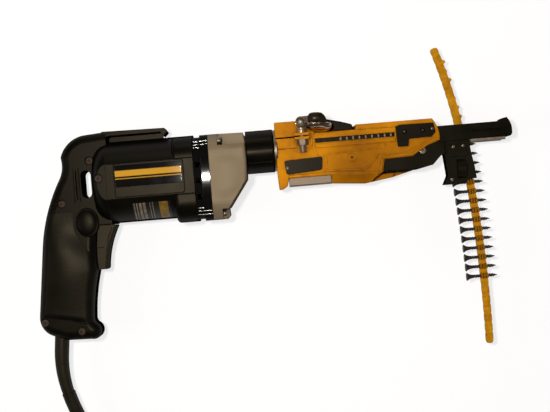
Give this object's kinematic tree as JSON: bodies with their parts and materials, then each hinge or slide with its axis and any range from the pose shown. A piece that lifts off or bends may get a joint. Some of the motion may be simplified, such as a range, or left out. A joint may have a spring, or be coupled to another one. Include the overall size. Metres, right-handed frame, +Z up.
{
  "type": "drywall screwdriver",
  "caption": "Corded drywall screw gun with pistol handle, trigger, geared motor and a clamp-on feeder that drives screws from a plastic strip.",
  "frame": {"origin": "on the surface that the tool lies on, under the motor axis, at the middle of the gear case's flat left side", "axes": "+X along the drive axis towards the nose, +Y towards the tool's top, +Z up, out of its right side"},
  "size_m": [0.4962, 0.5609, 0.0763],
  "materials": {
    "black_plastic": "moulded glass-filled nylon, satin, worn lighter on the edges",
    "gloss_black": "moulded black plastic, polished",
    "black_trigger": "moulded black plastic, satin",
    "black_collar": "moulded black plastic, satin",
    "grey_casting": "die casting, warm grey paint",
    "yellow_plastic": "moulded yellow plastic, scuffed",
    "black_feed": "moulded black plastic, satin",
    "zinc_steel": "zinc plated steel",
    "bright_lever": "nickel plated die casting",
    "hard_steel": "ground steel",
    "lamination_steel": "varnished lamination steel",
    "copper": "copper",
    "carbon": "pressed carbon",
    "fan_plastic": "moulded plastic",
    "amber_strip": "moulded amber plastic",
    "phosphate_screw": "black phosphated steel",
    "black_rubber": "black rubber sheath",
    "plug_plastic": "moulded black rubber",
    "plug_brass": "bare brass"
  },
  "bodies": {
    "root": {"motor_housing": "black_plastic", "handle_right": "black_plastic", "handle_left": "black_plastic", "switch_module": "black_plastic", "brush_holders": "black_plastic", "vent_ring": "gloss_black", "adapter_collar": "black_collar", "gear_case": "grey_casting", "feed_housing_right": "yellow_plastic", "feed_housing_left": "yellow_plastic", "side_pad": "black_feed", "depth_rack": "black_feed", "front_plate": "black_feed", "gear_case_screws": "zinc_steel", "handle_screws": "zinc_steel", "housing_screws": "zinc_steel", "adapter_ring": "zinc_steel", "clamp_bolt": "zinc_steel", "clamp_nut": "zinc_steel", "clamp_washers": "zinc_steel", "base_plate": "zinc_steel", "plate_screws": "zinc_steel", "motor_bearings": "zinc_steel", "spindle_bearing": "zinc_steel", "return_spring": "zinc_steel", "field_core": "lamination_steel", "field_coils": "copper", "carbon_brushes": "carbon", "cord_boot": "black_rubber", "cord_lead": "black_rubber", "cord_coil": "black_rubber", "coil_tie": "black_rubber", "plug_body": "plug_plastic", "plug_blades": "plug_brass"},
    "armature": {"armature_shaft": "hard_steel", "armature_core": "lamination_steel", "armature_windings": "copper", "commutator": "copper", "cooling_fan": "fan_plastic", "pinion": "hard_steel"},
    "gear": {"drive_gear": "hard_steel"},
    "spindle": {"clutch_disc": "hard_steel", "spindle": "hard_steel", "drive_shank": "hard_steel", "driver_bit": "hard_steel", "driven_screw": "phosphate_screw"},
    "trigger": {"trigger": "black_trigger"},
    "lock_button": {"lock_button": "black_trigger"},
    "clamp_lever": {"clamp_lever": "bright_lever", "lever_cap": "black_feed", "clamp_pin": "zinc_steel"},
    "depth_adjuster": {"depth_adjuster": "black_feed"},
    "slide": {"feed_slide": "black_feed", "feed_chute": "black_feed", "wheel_pin": "zinc_steel"},
    "nose": {"nose_guide": "black_feed", "nose_runners": "zinc_steel"},
    "strip": {"screw_strip": "amber_strip", "strip_screws": "phosphate_screw"},
    "feed_wheel": {"feed_wheel": "black_feed"}
  },
  "joints": [
    {"name": "armature_spin", "type": "hinge", "parent": "root", "child": "armature", "pos_m": [0, 0, 0.038], "axis": [1, 0, 0], "continuous": true},
    {"name": "gear_spin", "type": "hinge", "parent": "root", "child": "gear", "pos_m": [0, 0.021, 0.038], "axis": [1, 0, 0], "continuous": true},
    {"name": "spindle_push", "type": "slide", "parent": "gear", "child": "spindle", "axis": [-1, 0, 0], "range_m": [0, 0.002], "stiffness_N_per_m": 1200, "springref_m": -0.006},
    {"name": "trigger_pull", "type": "slide", "parent": "root", "child": "trigger", "axis": [-1, 0, 0], "range_m": [0, 0.006], "stiffness_N_per_m": 600, "springref_m": -0.006},
    {"name": "lock_press", "type": "slide", "parent": "root", "child": "lock_button", "axis": [0, 0, -1], "range_m": [0, 0.003], "stiffness_N_per_m": 500, "springref_m": -0.004},
    {"name": "clamp_open", "type": "hinge", "parent": "root", "child": "clamp_lever", "pos_m": [0.07705, 0.0465, 0.064], "axis": [0, 0, 1], "range_deg": [0, 110]},
    {"name": "depth_adjust", "type": "slide", "parent": "root", "child": "depth_adjuster", "axis": [-1, 0, 0], "range_m": [0, 0.0135]},
    {"name": "slide_stroke", "type": "slide", "parent": "root", "child": "slide", "axis": [-1, 0, 0], "range_m": [0, 0.05], "stiffness_N_per_m": 250, "springref_m": -0.03, "deforming": ["return_spring"]},
    {"name": "nose_length", "type": "slide", "parent": "slide", "child": "nose", "axis": [-1, 0, 0], "range_m": [0, 0.026]},
    {"name": "strip_feed", "type": "slide", "parent": "slide", "child": "strip", "axis": [-0.1113, 0.9938, 0], "range_m": [-0.00975, 0]},
    {"name": "wheel_turn", "type": "hinge", "parent": "slide", "child": "feed_wheel", "pos_m": [0.23745, -0.01312, 0.04421], "axis": [1, 0, 0], "range_deg": [-97, 4]}
  ],
  "couplings": [
    {"joint": "gear_spin", "follows": "armature_spin", "ratio": -0.25},
    {"joint": "wheel_turn", "follows": "strip_feed", "rad_per_m": 161.11}
  ]
}
